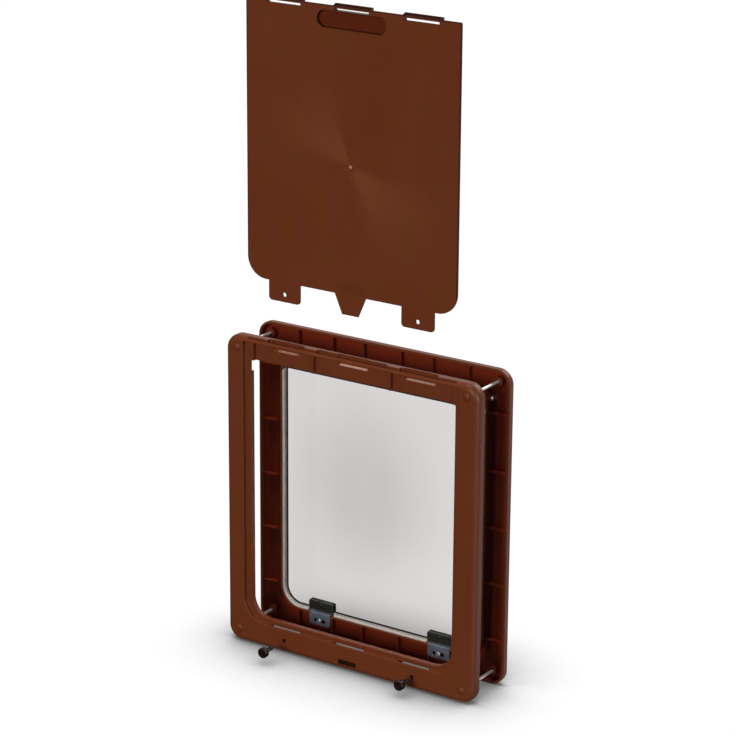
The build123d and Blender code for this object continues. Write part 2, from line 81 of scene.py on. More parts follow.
# ---- node helpers ------------------------------------------------------------------------------------
class Tree:
    def __init__(self, name):
        self.mat = bpy.data.materials.new(name)
        self.mat.use_nodes = True
        self.t = self.mat.node_tree
        self.bsdf = self.t.nodes["Principled BSDF"]
        self.geo = None

    def node(self, kind, **values):
        n = self.t.nodes.new(kind)
        for k, v in values.items():
            setattr(n, k, v)
        return n

    def link(self, a, b):
        self.t.links.new(a, b)

    def coords(self):
        if self.geo is None:
            self.geo = self.node("ShaderNodeTexCoord")
        return self.geo.outputs["Object"]

    def mapped(self, scale=(1, 1, 1), loc=(0, 0, 0)):
        m = self.node("ShaderNodeMapping")
        m.inputs["Scale"].default_value = scale
        m.inputs["Location"].default_value = loc
        self.link(self.coords(), m.inputs["Vector"])
        return m.outputs["Vector"]

    def noise(self, scale, detail=3.0, rough=0.5, vector=None):
        n = self.node("ShaderNodeTexNoise")
        n.inputs["Scale"].default_value = scale
        n.inputs["Detail"].default_value = detail
        n.inputs["Roughness"].default_value = rough
        self.link(vector if vector is not None else self.coords(), n.inputs["Vector"])
        return n.outputs["Fac"]

    def math(self, op, a, b=None, clamp=False):
        n = self.node("ShaderNodeMath", operation=op, use_clamp=clamp)
        for i, v in enumerate((a, b)):
            if v is None:
                continue
            if isinstance(v, (int, float)):
                n.inputs[i].default_value = v
            else:
                self.link(v, n.inputs[i])
        return n.outputs[0]

    def remap(self, v, a, b, c, d, kind="LINEAR"):
        n = self.node("ShaderNodeMapRange", interpolation_type=kind)
        self.link(v, n.inputs["Value"])
        for k, x in (("From Min", a), ("From Max", b), ("To Min", c), ("To Max", d)):
            n.inputs[k].default_value = x
        return n.outputs["Result"]

    def mix(self, fac, a, b, blend="MIX"):
        n = self.node("ShaderNodeMix", data_type="RGBA", blend_type=blend)
        n.clamp_factor = True
        for sock, v in ((n.inputs[0], fac), (n.inputs[6], a), (n.inputs[7], b)):
            if isinstance(v, (int, float)):
                sock.default_value = v
            elif isinstance(v, (tuple, list)):
                sock.default_value = (*v, 1.0) if len(v) == 3 else v
            else:
                self.link(v, sock)
        return n.outputs[2]

    def bump(self, height, strength, distance, normal=None):
        n = self.node("ShaderNodeBump")
        n.inputs["Strength"].default_value = strength
        n.inputs["Distance"].default_value = distance
        self.link(height, n.inputs["Height"])
        if normal is not None:
            self.link(normal, n.inputs["Normal"])
        return n.outputs["Normal"]


def lin(r, g, b):
    """sRGB 0 to 255, to linear."""
    return tuple(((c / 255.0) / 12.92 if c / 255.0 <= 0.04045 else ((c / 255.0 + 0.055) / 1.055) ** 2.4) for c in (r, g, b))


# ---- materials ---------------------------------------------------------------------------------------
def brown(name, dark, light, gate=None, edge=0.00045, painted_light=False, rim=(0.0011, 0.40)):
    t = Tree(name)
    b = t.bsdf
    cloud = t.noise(9.0, 3.0, 0.55)
    fine = t.noise(900.0, 2.0, 0.5)
    base = t.mix(t.remap(cloud, 0.3, 0.7, 0.0, 1.0), dark, light)
    base = t.mix(t.remap(fine, 0.35, 0.75, 0.0, 0.16), base, tuple(c * 1.35 for c in light))
    # long flow streaks, a little redder or yellower than the rest
    flow = t.noise(1.0, 2.0, 0.5, t.mapped((85.0, 60.0, 9.0)))
    base = t.mix(t.remap(flow, 0.46, 0.70, 0.0, 0.8), base, tuple(c * k for c, k in zip(light, (1.02, 0.92, 1.30))))
    base = t.mix(t.remap(flow, 0.30, 0.54, 0.8, 0.0), base, tuple(c * k for c, k in zip(light, (0.99, 1.04, 0.62))))
    if painted_light:
        # painted highlight: pale glint lines on the sloped steps of the three pockets, where light would catch them
        sep = t.node("ShaderNodeSeparateXYZ")
        t.link(t.coords(), sep.inputs[0])
        glint_band = t.math("MULTIPLY",
                     t.math("COMPARE", sep.outputs["Z"], 0.4119), t.math("COMPARE", sep.outputs["Y"], Y0 + 0.0120))
        for n in glint_band.node.inputs[0].links[0].from_node, glint_band.node.inputs[1].links[0].from_node:
            n.inputs[2].default_value = 0.0012
        glint_lines = None
        for x, half, painted_sheen in ((-0.1008, 0.0165, 0.40), (0.0, 0.0220, 0.85), (0.1008, 0.0225, 0.55)):
            d = t.math("ABSOLUTE", t.math("SUBTRACT", sep.outputs["X"], x))
            line = t.remap(d, half - 0.003, half, painted_sheen, 0.0)
            glint_lines = line if glint_lines is None else t.math("MAXIMUM", glint_lines, line)
        patchy = t.remap(t.noise(260.0, 2.0, 0.5), 0.3, 0.6, 0.65, 1.0)
        base = t.mix(t.math("MULTIPLY", t.math("MULTIPLY", glint_band, glint_lines), patchy), base, (0.80, 0.50, 0.38))
        # painted shade: the deep end of the tongue's pocket, behind its small window, is painted near black
        pocket_shade = t.math("MULTIPLY",
                      t.math("LESS_THAN", t.math("ABSOLUTE", sep.outputs["X"]), 0.0160), t.math("LESS_THAN", sep.outputs["Z"], 0.0160))
        inside = t.math("COMPARE", sep.outputs["Y"], Y0 + 0.0043)
        inside.node.inputs[2].default_value = 0.0014
        base = t.mix(t.math("MULTIPLY", t.math("MULTIPLY", pocket_shade, inside), 0.88), base, (0.018, 0.003, 0.001))
        # painted shade: inside the rear frame's channel the brown is painted redder and deeper than on the outer faces
        r0, r1 = (v.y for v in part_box("rear_frame"))
        channel_shade = t.math("MULTIPLY", t.remap(sep.outputs["Y"], r0, r0 + 0.0014, 0.0, 0.92), t.remap(sep.outputs["Y"], r1 - 0.0020, r1 - 0.0010, 1.0, 0.0))
        ax = t.math("ABSOLUTE", sep.outputs["X"])
        channel_shade = t.math("MULTIPLY", channel_shade, t.remap(ax, 0.1905, 0.1915, 1.0, 0.0))
        channel_shade = t.math("MULTIPLY", channel_shade, t.remap(t.math("ABSOLUTE", t.math("SUBTRACT", sep.outputs["Z"], 0.21275)), 0.2108, 0.2118, 1.0, 0.0))
        upright = t.math("MULTIPLY", t.remap(sep.outputs["Z"], 0.378, 0.402, 1.0, 0.0, "SMOOTHSTEP"), t.remap(sep.outputs["Z"], 0.026, 0.046, 0.0, 1.0, "SMOOTHSTEP"))
        channel_shade_tint = t.mix(t.math("MULTIPLY", t.remap(ax, 0.150, 0.160, 0.0, 1.0), upright), tuple(c * k for c, k in zip(light, (1.05, 0.50, 0.48))),
                        tuple(c * k for c, k in zip(light, (1.90, 1.10, 0.95))))
        base = t.mix(channel_shade, base, channel_shade_tint)
        # painted shade: the corner along the tunnel wall's outer side, the deepest place in the gap, is painted near
        # black
        corner_shade = t.math("MULTIPLY", t.remap(ax, 0.1640, 0.1715, 0.88, 0.0, "SMOOTHSTEP"), t.remap(ax, 0.1568, 0.1576, 0.0, 1.0))
        base = t.mix(t.math("MULTIPLY", t.math("MULTIPLY", corner_shade, channel_shade), upright), base, (0.006, 0.001, 0.001))
    rough = t.remap(cloud, 0.3, 0.7, 0.36, 0.44)
    if gate is not None:
        # flow marks that fan out from the moulding gate, with a painted sheen: two opposite sectors of the fan are
        # painted lighter where the flow lines would catch the light
        sep = t.node("ShaderNodeSeparateXYZ")
        t.link(t.coords(), sep.inputs[0])
        dx = t.math("SUBTRACT", sep.outputs["X"], gate[0])
        dz = t.math("SUBTRACT", sep.outputs["Z"], gate[1])
        ang = t.math("ARCTAN2", dz, dx)
        r2 = t.math("ADD", t.math("MULTIPLY", dx, dx), t.math("MULTIPLY", dz, dz))
        r = t.math("SQRT", r2)
        sheen_fan = t.math("COSINE", t.math("MULTIPLY", t.math("SUBTRACT", ang, gate[2]), 2.0))
        sheen_fan = t.remap(sheen_fan, 0.15, 1.0, 0.0, 1.0, "SMOOTHSTEP")
        fade = t.remap(r, 0.0, 0.17, 1.0, 0.0, "SMOOTHSTEP")
        near = t.remap(r, 0.001, 0.016, 0.0, 1.0, "SMOOTHSTEP")
        # fine streaks along the radius
        comb = t.node("ShaderNodeCombineXYZ")
        t.link(t.math("MULTIPLY", ang, 9.0), comb.inputs[0])
        t.link(t.math("MULTIPLY", r, 6.0), comb.inputs[1])
        streak = t.noise(1.0, 4.0, 0.6, comb.outputs[0])
        painted_sheen = t.math("MULTIPLY", t.math("MULTIPLY", sheen_fan, fade), t.remap(streak, 0.3, 0.7, 0.6, 1.15))
        painted_sheen = t.math("MULTIPLY", painted_sheen, near)
        base = t.mix(t.math("MULTIPLY", painted_sheen, 0.55, True), base, tuple(c * k for c, k in zip(light, (1.5, 1.85, 2.3))))
        # the gate's own small pale scar, and the specks of the flow that starts there
        base = t.mix(t.remap(r, 0.0014, 0.0026, 0.9, 0.0), base, (0.62, 0.40, 0.28))
        specks = t.math("MULTIPLY", t.remap(t.noise(420.0, 1.0, 0.5), 0.60, 0.68, 0.0, 1.0), t.remap(r, 0.004, 0.022, 0.5, 0.0))
        base = t.mix(specks, base, tuple(c * 2.4 for c in light))
        pits = t.math("MULTIPLY", t.remap(t.noise(330.0, 1.0, 0.5, t.mapped(loc=(0.37, 0.0, 0.11))), 0.62, 0.69, 0.0, 1.0), t.remap(r, 0.003, 0.018, 0.7, 0.0))
        base = t.mix(pits, base, tuple(c * 0.35 for c in dark))
        # painted shade: the finger recess is painted darker and redder than the grained face
        ux = t.math("MAXIMUM", t.math("SUBTRACT", t.math("ABSOLUTE", sep.outputs["X"]), 0.0400), 0.0)
        uz = t.math("SUBTRACT", sep.outputs["Z"], TRAY_Z)
        tray_shade = t.math("SQRT", t.math("ADD", t.math("MULTIPLY", ux, ux), t.math("MULTIPLY", uz, uz)))
        base = t.mix(t.remap(tray_shade, 0.0104, 0.0108, 0.8, 0.0), base, (0.150, 0.019, 0.003))
        # a faint darker oval ring above the tongue
        ox = t.math("DIVIDE", t.math("SUBTRACT", sep.outputs["X"], 0.002), 0.0235)
        oz = t.math("DIVIDE", t.math("SUBTRACT", sep.outputs["Z"], OVAL_Z), 0.0075)
        oval = t.math("SQRT", t.math("ADD", t.math("MULTIPLY", ox, ox), t.math("MULTIPLY", oz, oz)))
        base = t.mix(t.remap(oval, 0.90, 1.0, 0.22, 0.0), base, tuple(c * 0.55 for c in dark))
        rough = t.math("ADD", rough, t.math("MULTIPLY", painted_sheen, 0.08))
        # painted shade: the panel's rounded-over outline is painted as a dark line
        turn = t.node("ShaderNodeNewGeometry")
        ny = t.node("ShaderNodeSeparateXYZ")
        t.link(turn.outputs["Normal"], ny.inputs[0])
        side = t.remap(t.math("ABSOLUTE", ny.outputs["Y"]), 0.45, 0.97, 0.85, 0.0)
        out_x = t.remap(t.math("ABSOLUTE", sep.outputs["X"]), 0.1574 - 0.0021, 0.1574 - 0.0009, 0.0, 0.80, "SMOOTHSTEP")
        top_z = TRAY_Z + 0.0174
        out_z = t.remap(sep.outputs["Z"], top_z - 0.0018, top_z - 0.0006, 0.0, 0.80, "SMOOTHSTEP")
        base = t.mix(t.math("MAXIMUM", side, t.math("MAXIMUM", out_x, out_z)), base, (0.032, 0.004, 0.002))
    t.link(rough, b.inputs["Roughness"])
    b.inputs["IOR"].default_value = 1.46
    b.inputs["Specular IOR Level"].default_value = 0.26
    bev = t.node("ShaderNodeBevel", samples=4)
    bev.inputs["Radius"].default_value = edge
    # painted shade: every moulded edge is rounded over, and a band along it is painted darker where the wide bevel's
    # normal turns away from the face
    wide = t.node("ShaderNodeBevel", samples=8)
    wide.inputs["Radius"].default_value = rim[0]
    flat = t.node("ShaderNodeNewGeometry")
    dot = t.node("ShaderNodeVectorMath", operation="DOT_PRODUCT")
    t.link(wide.outputs["Normal"], dot.inputs[0])
    t.link(flat.outputs["Normal"], dot.inputs[1])
    shade = t.remap(dot.outputs["Value"], 0.80, 0.992, rim[1], 0.0)
    base = t.mix(shade, base, (0.030, 0.005, 0.002))
    t.link(base, b.inputs["Base Color"])
    grain = t.math("ADD", t.math("MULTIPLY", t.noise(1500.0, 2.0, 0.5), 0.6), t.math("MULTIPLY", t.noise(160.0, 2.0, 0.5), 0.4))
    t.link(t.bump(grain, 0.16, 0.00012, bev.outputs["Normal"]), b.inputs["Normal"])
    return t.mat


def metal(name, color, rough, grain=(1, 1, 1), scale=600.0, spread=0.1, bumps=0.1, metallic=1.0):
    t = Tree(name)
    b = t.bsdf
    n = t.noise(scale, 3.0, 0.6, t.mapped(grain))
    t.link(t.mix(t.remap(n, 0.3, 0.7, 0.0, 1.0), tuple(c * 0.8 for c in color), color), b.inputs["Base Color"])
    t.link(t.remap(n, 0.3, 0.7, rough - spread / 2, rough + spread / 2), b.inputs["Roughness"])
    b.inputs["Metallic"].default_value = metallic
    bev = t.node("ShaderNodeBevel", samples=4)
    bev.inputs["Radius"].default_value = 0.00025
    t.link(t.bump(n, bumps, 0.00005, bev.outputs["Normal"]), b.inputs["Normal"])
    return t.mat


def plastic(name, color, rough=0.45, spec=0.4, var=0.25, scale=300.0, edge=0.0003, bumps=0.15):
    t = Tree(name)
    b = t.bsdf
    n = t.noise(scale, 3.0, 0.55)
    cloud = t.noise(40.0, 2.0, 0.5)
    base = t.mix(t.remap(cloud, 0.3, 0.7, 0.0, 1.0), tuple(c * (1 - var) for c in color), tuple(c * (1 + var) for c in color))
    t.link(base, b.inputs["Base Color"])
    t.link(t.remap(n, 0.3, 0.7, rough - 0.06, rough + 0.06), b.inputs["Roughness"])
    b.inputs["Specular IOR Level"].default_value = spec
    bev = t.node("ShaderNodeBevel", samples=4)
    bev.inputs["Radius"].default_value = edge
    t.link(t.bump(n, bumps, 0.0001, bev.outputs["Normal"]), b.inputs["Normal"])
    return t.mat


BROWN_D, BROWN_L = (0.185, 0.040, 0.0105), (0.205, 0.047, 0.0135)
TRAY_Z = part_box("closing_panel")[1].z - 0.0023 - 0.0174
OVAL_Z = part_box("closing_panel")[0].z + 0.0258 + 0.0085
M = {}
# the frame's brown carries painted glints and painted shade in its pockets and channels
M["frame"] = brown("frame_brown", BROWN_D, BROWN_L, painted_light=True)
M["panel"] = brown("panel_brown", BROWN_D, BROWN_L, gate=(0.0, 0.672, math.radians(-41.0)), rim=(0.0016, 0.85))
M["thumb"] = plastic("thumb_screw_brown", lin(40, 15, 10), 0.40, 0.35)
M["steel"] = metal("plated_steel", (0.98, 0.95, 0.92), 0.34, metallic=0.62)
M["dark_steel"] = metal("keeper_screw_steel", (0.62, 0.70, 0.82), 0.26, metallic=0.6)
M["zinc"] = metal("zinc_plate", (0.30, 0.34, 0.43), 0.36, scale=120.0, spread=0.2, metallic=0.55)
M["black"] = plastic("holder_black", (0.022, 0.022, 0.017), 0.42, 0.5)
M["magnet"] = metal("magnet_metal", (0.22, 0.22, 0.23), 0.5)
M["brass"] = metal("threaded_sleeve", (0.10, 0.065, 0.035), 0.45)
M["rail"] = plastic("rail_dark", (0.035, 0.03, 0.025), 0.4, 0.45)
M["bush"] = plastic("bush_nylon", (0.55, 0.52, 0.46), 0.45, 0.4)


def vinyl():
    """Clear soft vinyl: grey-warm tint with slow clouding, a painted darker reflection in the middle and painted light
    towards the lower right, faint extrusion lines and a gentle ripple.
    """
    t = Tree("clear_vinyl")
    b = t.bsdf
    cloud = t.noise(7.0, 2.0, 0.5, t.mapped((1.0, 1.0, 0.8), (0.31, 0.0, 0.12)))
    fine = t.noise(40.0, 2.0, 0.5, t.mapped((1.0, 1.0, 0.06)))
    sep = t.node("ShaderNodeSeparateXYZ")
    t.link(t.coords(), sep.inputs[0])
    ex = t.math("DIVIDE", t.math("ADD", sep.outputs["X"], 0.030), 0.120)
    ez = t.math("DIVIDE", t.math("SUBTRACT", sep.outputs["Z"], 0.225), 0.150)
    er = t.math("SQRT", t.math("ADD", t.math("MULTIPLY", ex, ex), t.math("MULTIPLY", ez, ez)))
    # painted reflection: darker in the middle of the sheet, lighter outwards
    reflection_shade = t.math("ADD", t.remap(er, 0.15, 1.15, 0.0, 1.0, "SMOOTHSTEP"), t.remap(cloud, 0.3, 0.7, -0.10, 0.10), True)
    col = t.mix(reflection_shade, (0.560, 0.540, 0.535), (0.690, 0.676, 0.664))
    # painted light: the sheet is painted paler towards its lower right
    foot_light = t.remap(t.math("SUBTRACT", sep.outputs["Z"], t.math("MULTIPLY", sep.outputs["X"], 0.75)), -0.02, 0.16, 0.62, 0.0, "SMOOTHSTEP")
    col = t.mix(foot_light, col, (0.780, 0.762, 0.750))
    col = t.mix(t.remap(fine, 0.3, 0.7, 0.0, 0.06), col, (0.74, 0.74, 0.75))
    t.link(col, b.inputs["Base Color"])
    b.inputs["Roughness"].default_value = 0.08
    b.inputs["IOR"].default_value = 1.42
    b.inputs["Transmission Weight"].default_value = 1.0
    b.inputs["Specular IOR Level"].default_value = 0.35
    wave = t.noise(6.0, 2.0, 0.5, t.mapped((1.0, 1.0, 0.5)))
    t.link(t.bump(t.math("ADD", wave, t.math("MULTIPLY", fine, 0.05)), 0.2, 0.002), b.inputs["Normal"])
    return t.mat


def vinyl_edge():
    """The cut edge of the vinyl, where light is trapped, painted nearly black green as a band of shade."""
    t = Tree("vinyl_edge")
    n = t.noise(300.0, 2.0, 0.5)
    t.link(t.mix(t.remap(n, 0.3, 0.7, 0.0, 1.0), (0.016, 0.021, 0.017), (0.030, 0.036, 0.030)), t.bsdf.inputs["Base Color"])
    t.link(t.remap(n, 0.3, 0.7, 0.25, 0.4), t.bsdf.inputs["Roughness"])
    t.bsdf.inputs["Specular IOR Level"].default_value = 0.3
    return t.mat


def pile_material(name, a, c):
    """Soft pile: each tuft a little lighter or darker, with broader darker patches."""
    t = Tree(name)
    n = t.noise(700.0, 2.0, 0.6)
    w = t.noise(60.0, 2.0, 0.5)
    col = t.mix(t.remap(n, 0.3, 0.7, 0.0, 1.0), a, c)
    col = t.mix(t.remap(w, 0.35, 0.65, 0.0, 0.35), col, tuple(x * 0.8 for x in a))
    t.link(col, t.bsdf.inputs["Base Color"])
    t.bsdf.inputs["Roughness"].default_value = 0.85
    t.bsdf.inputs["Specular IOR Level"].default_value = 0.1
    t.bsdf.inputs["Sheen Weight"].default_value = 0.25
    return t.mat


M["vinyl"] = vinyl()
M["vinyl_edge"] = vinyl_edge()
M["pile"] = pile_material("pile_fibre", (0.78, 0.70, 0.64), (0.95, 0.89, 0.84))
M["pile_back"] = pile_material("pile_backing", (0.42, 0.36, 0.31), (0.56, 0.49, 0.43))


def dress(node, mat):
    o = NODES[node]
    o.data.materials.clear()
    o.data.materials.append(mat)


for n in NODES:
    if n in ("front_frame", "rear_frame") or n.startswith("screw_cap"):
        dress(n, M["frame"])
    elif n == "closing_panel":
        dress(n, M["panel"])
    elif n.startswith("thumb_screw"):
        dress(n, M["thumb"])
    elif n.startswith("keeper_screw"):
        dress(n, M["dark_steel"])
    elif n.startswith(("clamp_screw", "hinge_pin", "rail_rivets")):
        dress(n, M["steel"])
    elif n.startswith("keeper_plate"):
        dress(n, M["zinc"])
    elif n.startswith("magnet_holder"):
        dress(n, M["black"])
    elif n.startswith("magnet_"):
        dress(n, M["magnet"])
    elif n.startswith("thumb_insert"):
        dress(n, M["frame"])
    elif n.startswith("boss_insert"):
        dress(n, M["brass"])
    elif n == "hinge_rail":
        dress(n, M["rail"])
    elif n.startswith("hinge_bush"):
        dress(n, M["bush"])


# ---- pieces ------------------------------------------------------------------------------------------
def new_object(name, verts, faces, mats, material_index=None, smooth=True):
    mesh = bpy.data.meshes.new(name)
    mesh.from_pydata([tuple(v) for v in verts], [], faces)
    for m in mats:
        mesh.materials.append(m)
    if material_index:
        mesh.polygons.foreach_set("material_index", material_index)
    mesh.polygons.foreach_set("use_smooth", [smooth] * len(mesh.polygons))
    mesh.update()
    o = bpy.data.objects.new(name, mesh)
    bpy.context.scene.collection.objects.link(o)
    return o


def corner(cx, cz, r, a0, a1, n):
    return [(cx + r * math.cos(math.radians(a0 + (a1 - a0) * i / n)), cz + r * math.sin(math.radians(a0 + (a1 - a0) * i / n))) for i in range(n + 1)]


def inset(loop, d):
    """The closed loop of (x, z), counter-clockwise, moved inwards by d along its corner normals."""
    out = []
    n = len(loop)
    for i in range(n):
        a, b, c = Vector(loop[i - 1]), Vector(loop[i]), Vector(loop[(i + 1) % n])
        u, v = (b - a).normalized(), (c - b).normalized()
        n1, n2 = Vector((-u.y, u.x)), Vector((-v.y, v.x))
        m = n1 + n2
        m = m / max(m.length_squared / 2, 0.35)
        out.append(tuple(b + m * d))
    return out


# the clear flap: one moulded sheet with a rounded rim all round, notched where the magnet holders sit
FLAP_HW, FLAP_T, FLAP_Z0, FLAP_Z1, FLAP_R = 152.2, 3.4, 35.9, 377.5, 24.0
HINGE_Y = 79.65
MAG_X, NOTCH_HW, NOTCH_Z = 94.0, 19.4, 42.9


def flap_sheet():
    loop = [(FLAP_HW, FLAP_Z1)]
    loop += [(-FLAP_HW, FLAP_Z1)]
    k = 40
    loop += [(-FLAP_HW, FLAP_Z1 + (FLAP_Z0 + FLAP_R - FLAP_Z1) * i / k) for i in range(1, k)]
    loop += corner(-FLAP_HW + FLAP_R, FLAP_Z0 + FLAP_R, FLAP_R, 180, 270, 14)
    for s in (-1, 1):
        a, b = s * MAG_X - NOTCH_HW, s * MAG_X + NOTCH_HW
        loop += [(a - 1.2, FLAP_Z0), (a, FLAP_Z0 + 1.2), (a, NOTCH_Z), (b, NOTCH_Z), (b, FLAP_Z0 + 1.2), (b + 1.2, FLAP_Z0)]
        if s < 0:
            loop += [(b + 2 + (2 * MAG_X - 2 * NOTCH_HW - 4) * i / 20, FLAP_Z0) for i in range(0, 21)]
    loop += corner(FLAP_HW - FLAP_R, FLAP_Z0 + FLAP_R, FLAP_R, 270, 360, 14)
    loop += [(FLAP_HW, FLAP_Z0 + FLAP_R + (FLAP_Z1 - FLAP_Z0 - FLAP_R) * i / k) for i in range(1, k)]
    # section of the rim, from the front's clear field round to the back's
    t = FLAP_T / 2
    section = [(1.9, -t), (1.2, -t * 0.99), (0.55, -t * 0.93), (0.15, -t * 0.70), (0.0, -t * 0.36), (0.0, 0.0)]
    section += [(d, -y) for d, y in section[-2::-1]]
    rings = []
    for d, y in section:
        rings.append([(x, y, z) for x, z in (inset(loop, d) if d else loop)])
    n = len(loop)
    verts = [P(x, HINGE_Y + y, z) for ring in rings for x, y, z in ring]
    faces, idx = [], []
    for r in range(len(rings) - 1):
        for i in range(n):
            j = (i + 1) % n
            faces.append((r * n + i, r * n + j, (r + 1) * n + j, (r + 1) * n + i))
            idx.append(1)
    bm_faces = [list(range(n)), [(len(rings) - 1) * n + i for i in range(n)][::-1]]
    faces += [bm_faces[0][::-1], bm_faces[1][::-1]]
    idx += [0, 0]
    o = new_object("flap_sheet", verts, faces, [M["vinyl"], M["vinyl_edge"]], idx, smooth=True)
    bm = bmesh.new()
    bm.from_mesh(o.data)
    bmesh.ops.recalc_face_normals(bm, faces=bm.faces)
    bm.to_mesh(o.data)
    bm.free()
    for p in o.data.polygons:
        if len(p.vertices) > 4:
            p.use_smooth = False
    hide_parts("flap_panel")
    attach(o, "flap")


flap_sheet()


# pile weatherstrip: a woven backing with dense tufts that lean in from the tunnel wall
TUN_HW, TUN_Z0, TUN_R, PILE_T = 156.8, 31.5, 28.6, 3.3
PILE_Y0, PILE_Y1 = 75.0, 84.3


def wall_path(side):
    """Points and inward normals along the tunnel wall, in millimetres, from one end of a seal to the other."""
    step = 1.0
    pts = []
    if side == "bottom":
        hw = MAG_X - 33.0 / 2 - 4.2
        n = int(2 * hw / step)
        return [((-hw + 2 * hw * i / n), TUN_Z0, 0.0, 1.0) for i in range(n + 1)]
    s = -1 if side == "left" else 1
    x_end = MAG_X + 33.0 / 2 + 4.2
    top = 362.0
    n = int((top - TUN_Z0 - TUN_R) / step)
    pts += [(s * TUN_HW, top - (top - TUN_Z0 - TUN_R) * i / n, -s, 0.0) for i in range(n)]
    m = int(TUN_R * math.pi / 2 / step)
    cx, cz = s * (TUN_HW - TUN_R), TUN_Z0 + TUN_R
    for i in range(m + 1):
        a = math.pi / 2 * i / m
        pts.append((cx + s * TUN_R * math.cos(a), cz - TUN_R * math.sin(a), -s * math.cos(a), math.sin(a)))
    q = int((TUN_HW - TUN_R - x_end) / step)
    pts += [(s * (TUN_HW - TUN_R - (TUN_HW - TUN_R - x_end) * i / q), TUN_Z0, 0.0, 1.0) for i in range(1, q + 1)]
    return pts


def pile_strip(side):
    rng = random.Random({"left": 11, "right": 12, "bottom": 13}[side])
    path = wall_path(side)
    verts, faces, idx = [], [], []
    # backing: a low ribbon with rounded edges
    sect = [(PILE_Y0 + 0.2, 0.02), (PILE_Y0 + 0.1, 0.6), (PILE_Y0 + 0.5, 0.95), (PILE_Y1 - 0.5, 0.95), (PILE_Y1 - 0.1, 0.6), (PILE_Y1 - 0.2, 0.02)]
    for x, z, nx, nz in path:
        for y, h in sect:
            verts.append(P(x + nx * h, y, z + nz * h))
    m = len(sect)
    for i in range(len(path) - 1):
        for j in range(m):
            k = (j + 1) % m
            faces.append((i * m + j, i * m + k, (i + 1) * m + k, (i + 1) * m + j))
            idx.append(1)
    for ring in (list(range(m)), list(range((len(path) - 1) * m, len(path) * m))[::-1]):
        faces.append(tuple(ring))
        idx.append(1)
    # the dense body of the pile, uneven along its crown
    first = len(verts)
    sect = [(0.45, 0.9), (0.22, 1.7), (0.55, 2.45), (1.6, 2.75), (4.65, 2.85), (-1.6, 2.75), (-0.55, 2.45), (-0.22, 1.7), (-0.45, 0.9)]
    for x, z, nx, nz in path:
        wave = 0.12 * noise.noise(Vector((x * 0.35, z * 0.35, 4.0)))
        for y, h in sect:
            yy = PILE_Y0 + y if y > 0 else PILE_Y1 + y
            hh = h + (wave if h > 1 else 0.0)
            verts.append(P(x + nx * hh, yy, z + nz * hh))
    m = len(sect)
    for i in range(len(path) - 1):
        for j in range(m - 1):
            faces.append((first + i * m + j, first + i * m + j + 1, first + (i + 1) * m + j + 1, first + (i + 1) * m + j))
            idx.append(0)
    for ring in (list(range(m)), list(range((len(path) - 1) * m, len(path) * m))[::-1]):
        faces.append(tuple(first + k for k in ring))
        idx.append(0)
    # tufts: small tapered blades in rows
    rows = 13
    for i, (x, z, nx, nz) in enumerate(path[:-1]):
        tx, tz = -nz, nx
        for sub in (0.0, 0.5):
            for r in range(rows):
                y = PILE_Y0 + 0.45 + (PILE_Y1 - PILE_Y0 - 0.9) * (r + rng.uniform(0.15, 0.85)) / rows
                along = sub + rng.uniform(-0.24, 0.24)
                edge = abs((y - (PILE_Y0 + PILE_Y1) / 2) / ((PILE_Y1 - PILE_Y0) / 2))
                h = (3.28 - 0.55 * edge ** 3) * rng.uniform(0.86, 1.0)
                lean_y, lean_t = rng.uniform(-0.28, 0.28) + 0.25 * (1 if y > (PILE_Y0 + PILE_Y1) / 2 else -1) * edge, rng.uniform(-0.35, 0.35)
                w = rng.uniform(0.20, 0.30)
                a = rng.uniform(0, math.pi)
                bx, by, bz = x + tx * along + nx * 0.8, y, z + tz * along + nz * 0.8
                ux, uy = math.cos(a) * w, math.sin(a) * w
                y_tip = min(max(by + lean_y, PILE_Y0 + 0.02), PILE_Y1 - 0.02)
                tipx, tipz = x + tx * (along + lean_t) + nx * h, z + tz * (along + lean_t) + nz * h
                base = len(verts)
                verts.append(P(bx + tx * ux, by + uy, bz + tz * ux))
                verts.append(P(bx - tx * ux, by - uy, bz - tz * ux))
                verts.append(P(tipx - tx * ux * 0.45, y_tip - uy * 0.3, tipz - tz * ux * 0.45))
                verts.append(P(tipx + tx * ux * 0.45, y_tip + uy * 0.3, tipz + tz * ux * 0.45))
                faces.append((base, base + 1, base + 2, base + 3))
                idx.append(0)
    o = new_object("pile_" + side, verts, faces, [M["pile"], M["pile_back"]], idx, smooth=False)
    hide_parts("seal_" + side)
    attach(o, "frame")


for side in ("left", "right", "bottom"):
    pile_strip(side)


# helical threads on the screws
def thread(name, x, z, y0, y1, r_core, depth, pitch, body, mat, taper=1.2):
    """A V thread of one continuous helix round a shank that runs along Y."""
    turns = (y1 - y0) / pitch
    seg = 28
    n = int(turns * seg)
    verts, faces = [], []
    prof = [(-0.46, -0.06), (-0.10, 1.0), (0.10, 1.0), (0.46, -0.06)]
    for i in range(n + 1):
        a = 2 * math.pi * i / seg
        y = y0 + pitch * i / seg
        fade = min(1.0, (y - y0) / taper, (y1 - y) / taper)
        fade = max(0.0, fade)
        for u, h in prof:
            r = r_core + (depth * h * fade if h > 0 else depth * h)
            verts.append(P(x + r * math.cos(a), y + u * pitch * 0.98, z + r * math.sin(a)))
    m = len(prof)
    for i in range(n):
        for j in range(m):
            k = (j + 1) % m
            faces.append((i * m + j, i * m + k, (i + 1) * m + k, (i + 1) * m + j))
    faces.append(tuple(range(m)))
    faces.append(tuple(range(n * m, (n + 1) * m))[::-1])
    o = new_object(name, verts, faces, [mat], smooth=False)
    bm = bmesh.new()
    bm.from_mesh(o.data)
    bmesh.ops.recalc_face_normals(bm, faces=bm.faces)
    bm.to_mesh(o.data)
    bm.free()
    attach(o, body)
    return o


for side, out in (("left", 42.0), ("right", 25.0)):
    x = -100.5 if side == "left" else 100.5
    thread("thumb_thread_" + side, x, 17.2, 3.6 - out, 14.6 - out, 2.5, 0.34, 1.1, "thumb_screw_" + side, M["thumb"])


